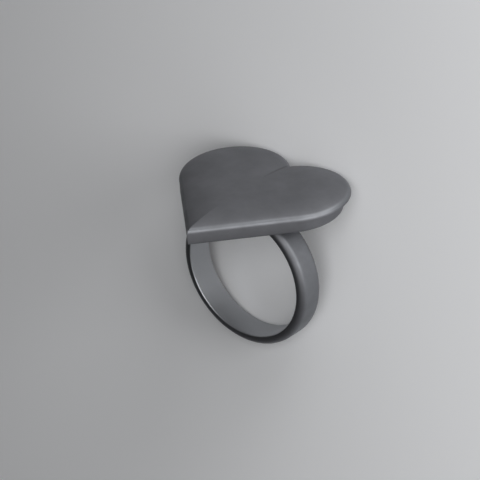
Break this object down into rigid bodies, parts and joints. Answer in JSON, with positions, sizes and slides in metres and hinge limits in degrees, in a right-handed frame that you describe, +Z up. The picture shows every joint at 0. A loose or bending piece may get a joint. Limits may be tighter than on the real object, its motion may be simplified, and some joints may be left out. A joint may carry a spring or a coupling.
{
  "type": "heart ring",
  "caption": "One-piece cast finger ring with a round band and a cushioned heart-shaped signet head, lying on its side.",
  "frame": {"origin": "on the table under the middle of the ring, where it lies on the back edge of its band and its two lobes", "axes": "+Z up from the table, +X across the heart from lobe to lobe, -Y out of the heart's face; the finger hole leans back 24 degrees from +Z towards +Y"},
  "size_m": [0.0236, 0.0234, 0.0201],
  "materials": {
    "satin_silver": "satin grey, darkened cast silver"
  },
  "bodies": {
    "root": {"heart_ring": "satin_silver"}
  },
  "joints": []
}
